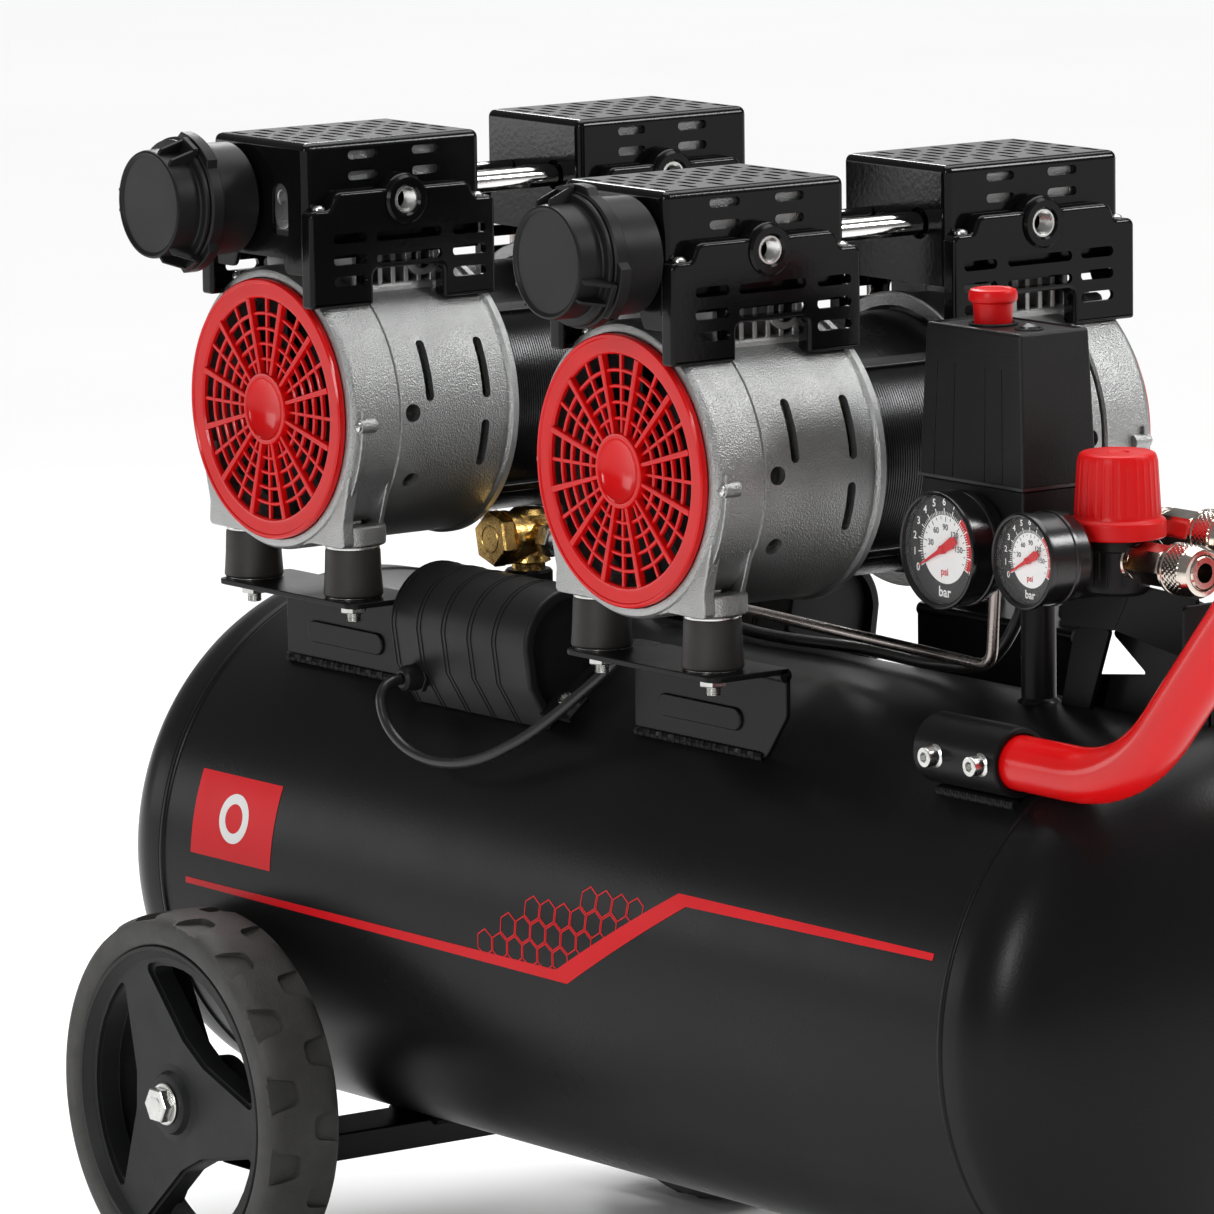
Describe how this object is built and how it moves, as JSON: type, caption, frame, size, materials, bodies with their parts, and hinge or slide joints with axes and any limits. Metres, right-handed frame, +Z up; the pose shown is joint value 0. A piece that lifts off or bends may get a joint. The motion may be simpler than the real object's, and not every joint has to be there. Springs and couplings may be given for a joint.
{
  "type": "air compressor",
  "caption": "Wheeled horizontal-tank air compressor with twin double-ended oil-free motor units, pressure switch, gauges, regulator and quick couplings.",
  "frame": {"origin": "on the floor under the middle of the machine", "axes": "+X along the tank towards the handle, -Y to the side with the gauges and air filters, +Z up"},
  "size_m": [0.9532, 0.406, 0.6258],
  "materials": {
    "cast_aluminium": "sand-textured die casting",
    "piston_metal": "turned",
    "grille_red": "glossy moulded plastic",
    "shroud_gloss": "high gloss moulded plastic",
    "stator_laminations": "black lacquered laminations",
    "rotor_steel": "ground steel",
    "filter_plastic": "satin moulded plastic",
    "bright_tube": "polished",
    "mount_rubber": "moulded rubber",
    "tank_paint": "satin black powder coat",
    "wheel_plastic": "fine textured",
    "tyre_rubber": "worn matt rubber",
    "foot_rubber": "moulded rubber",
    "handle_red": "satin red powder coat",
    "switch_plastic": "spark-eroded texture",
    "control_red": "satin moulded plastic",
    "gauge_black": "semi-gloss black",
    "fitting_black": "black coated die casting",
    "nickel": "nickel plated, knurled",
    "brass": "cast and machined",
    "pipe_steel": "drawn tube",
    "box_plastic": "satin moulded plastic",
    "lead_sheath": "smooth sheath"
  },
  "bodies": {
    "root": {"a_crankcase_front": "cast_aluminium", "a_grille_front": "grille_red", "a_shroud_front": "shroud_gloss", "a_crankcase_rear": "cast_aluminium", "a_grille_rear": "grille_red", "a_shroud_rear": "shroud_gloss", "a_stator": "stator_laminations", "a_filter_body": "filter_plastic", "a_crossover_tube": "bright_tube", "a_mount_front_left": "mount_rubber", "a_mount_front_right": "mount_rubber", "a_mount_rear_left": "mount_rubber", "a_mount_rear_right": "mount_rubber", "b_crankcase_front": "cast_aluminium", "b_grille_front": "grille_red", "b_shroud_front": "shroud_gloss", "b_crankcase_rear": "cast_aluminium", "b_grille_rear": "grille_red", "b_shroud_rear": "shroud_gloss", "b_stator": "stator_laminations", "b_filter_body": "filter_plastic", "b_crossover_tube": "bright_tube", "b_mount_front_left": "mount_rubber", "b_mount_front_right": "mount_rubber", "b_mount_rear_left": "mount_rubber", "b_mount_rear_right": "mount_rubber", "tank_shell": "tank_paint", "rubber_foot_front": "foot_rubber", "rubber_foot_rear": "foot_rubber", "handle": "handle_red", "switch_base": "switch_plastic", "switch_cover": "switch_plastic", "gauge_tank_case": "gauge_black", "gauge_outlet_case": "gauge_black", "regulator_body": "fitting_black", "check_valve": "brass", "delivery_pipe": "pipe_steel", "relief_tube": "pipe_steel", "capacitor_box": "box_plastic", "capacitor_lead": "lead_sheath"},
    "a_rotor": {"a_rotor": "rotor_steel"},
    "a_piston_front": {"a_piston_front": "piston_metal"},
    "a_piston_rear": {"a_piston_rear": "piston_metal"},
    "a_filter_cap": {"a_filter_cap": "filter_plastic"},
    "b_rotor": {"b_rotor": "rotor_steel"},
    "b_piston_front": {"b_piston_front": "piston_metal"},
    "b_piston_rear": {"b_piston_rear": "piston_metal"},
    "b_filter_cap": {"b_filter_cap": "filter_plastic"},
    "wheel_front": {"wheel_hub_front": "wheel_plastic", "wheel_tyre_front": "tyre_rubber"},
    "wheel_rear": {"wheel_hub_rear": "wheel_plastic", "wheel_tyre_rear": "tyre_rubber"},
    "gauge_tank_needle": {"gauge_tank_needle": "control_red"},
    "gauge_outlet_needle": {"gauge_outlet_needle": "control_red"},
    "regulator_knob": {"regulator_knob": "control_red"},
    "switch_knob": {"switch_knob": "control_red"},
    "coupling_sleeve_front": {"coupling_sleeve_front": "nickel"},
    "coupling_sleeve_rear": {"coupling_sleeve_rear": "nickel"},
    "safety_valve_pin": {"safety_valve_pin": "bright_tube"},
    "drain_screw": {"drain_screw": "brass"}
  },
  "joints": [
    {"name": "a_rotor_spin", "type": "hinge", "parent": "root", "child": "a_rotor", "pos_m": [-0.2881, 0, 0.476], "axis": [0, 1, 0], "continuous": true},
    {"name": "a_piston_front_stroke", "type": "slide", "parent": "root", "child": "a_piston_front", "axis": [0, 0, 1], "range_m": [-0.004, 0.004]},
    {"name": "a_piston_rear_stroke", "type": "slide", "parent": "root", "child": "a_piston_rear", "axis": [0, 0, 1], "range_m": [-0.004, 0.004]},
    {"name": "a_filter_cap_turn", "type": "hinge", "parent": "root", "child": "a_filter_cap", "pos_m": [-0.3081, -0.19, 0.5875], "axis": [0, 1, 0], "range_deg": [0, 25]},
    {"name": "b_rotor_spin", "type": "hinge", "parent": "root", "child": "b_rotor", "pos_m": [0.0255, 0, 0.476], "axis": [0, 1, 0], "continuous": true},
    {"name": "b_piston_front_stroke", "type": "slide", "parent": "root", "child": "b_piston_front", "axis": [0, 0, 1], "range_m": [-0.004, 0.004]},
    {"name": "b_piston_rear_stroke", "type": "slide", "parent": "root", "child": "b_piston_rear", "axis": [0, 0, 1], "range_m": [-0.004, 0.004]},
    {"name": "b_filter_cap_turn", "type": "hinge", "parent": "root", "child": "b_filter_cap", "pos_m": [0.0455, -0.19, 0.5875], "axis": [0, 1, 0], "range_deg": [0, 25]},
    {"name": "wheel_front_spin", "type": "hinge", "parent": "root", "child": "wheel_front", "pos_m": [-0.3201, -0.173, 0.102], "axis": [0, 1, 0], "continuous": true},
    {"name": "wheel_rear_spin", "type": "hinge", "parent": "root", "child": "wheel_rear", "pos_m": [-0.3201, 0.173, 0.102], "axis": [0, 1, 0], "continuous": true},
    {"name": "gauge_tank_pointer", "type": "hinge", "parent": "root", "child": "gauge_tank_needle", "pos_m": [0.1759, -0.06, 0.4445], "axis": [0, 1, 0], "range_deg": [0, 236], "stiffness_Nm_per_rad": 0.0005},
    {"name": "gauge_outlet_pointer", "type": "hinge", "parent": "root", "child": "gauge_outlet_needle", "pos_m": [0.2449, -0.062, 0.447], "axis": [0, 1, 0], "range_deg": [0, 236], "stiffness_Nm_per_rad": 0.0005},
    {"name": "regulator_turn", "type": "hinge", "parent": "root", "child": "regulator_knob", "pos_m": [0.2489, -0.006, 0.468], "axis": [0, 0, 1], "range_deg": [-540, 540]},
    {"name": "switch_pull", "type": "slide", "parent": "root", "child": "switch_knob", "axis": [0, 0, 1], "range_m": [-0.006, 0]},
    {"name": "coupling_front_release", "type": "slide", "parent": "root", "child": "coupling_sleeve_front", "axis": [1, 0, 0], "range_m": [-0.004, 0], "stiffness_N_per_m": 500},
    {"name": "coupling_rear_release", "type": "slide", "parent": "root", "child": "coupling_sleeve_rear", "axis": [1, 0, 0], "range_m": [-0.004, 0], "stiffness_N_per_m": 500},
    {"name": "safety_valve_pull", "type": "slide", "parent": "root", "child": "safety_valve_pin", "axis": [0, 1, 0], "range_m": [0, 0.003], "stiffness_N_per_m": 800},
    {"name": "drain_turn", "type": "hinge", "parent": "root", "child": "drain_screw", "pos_m": [0.0029, 0, 0.06], "axis": [0, 0, 1], "range_deg": [0, 360]}
  ]
}
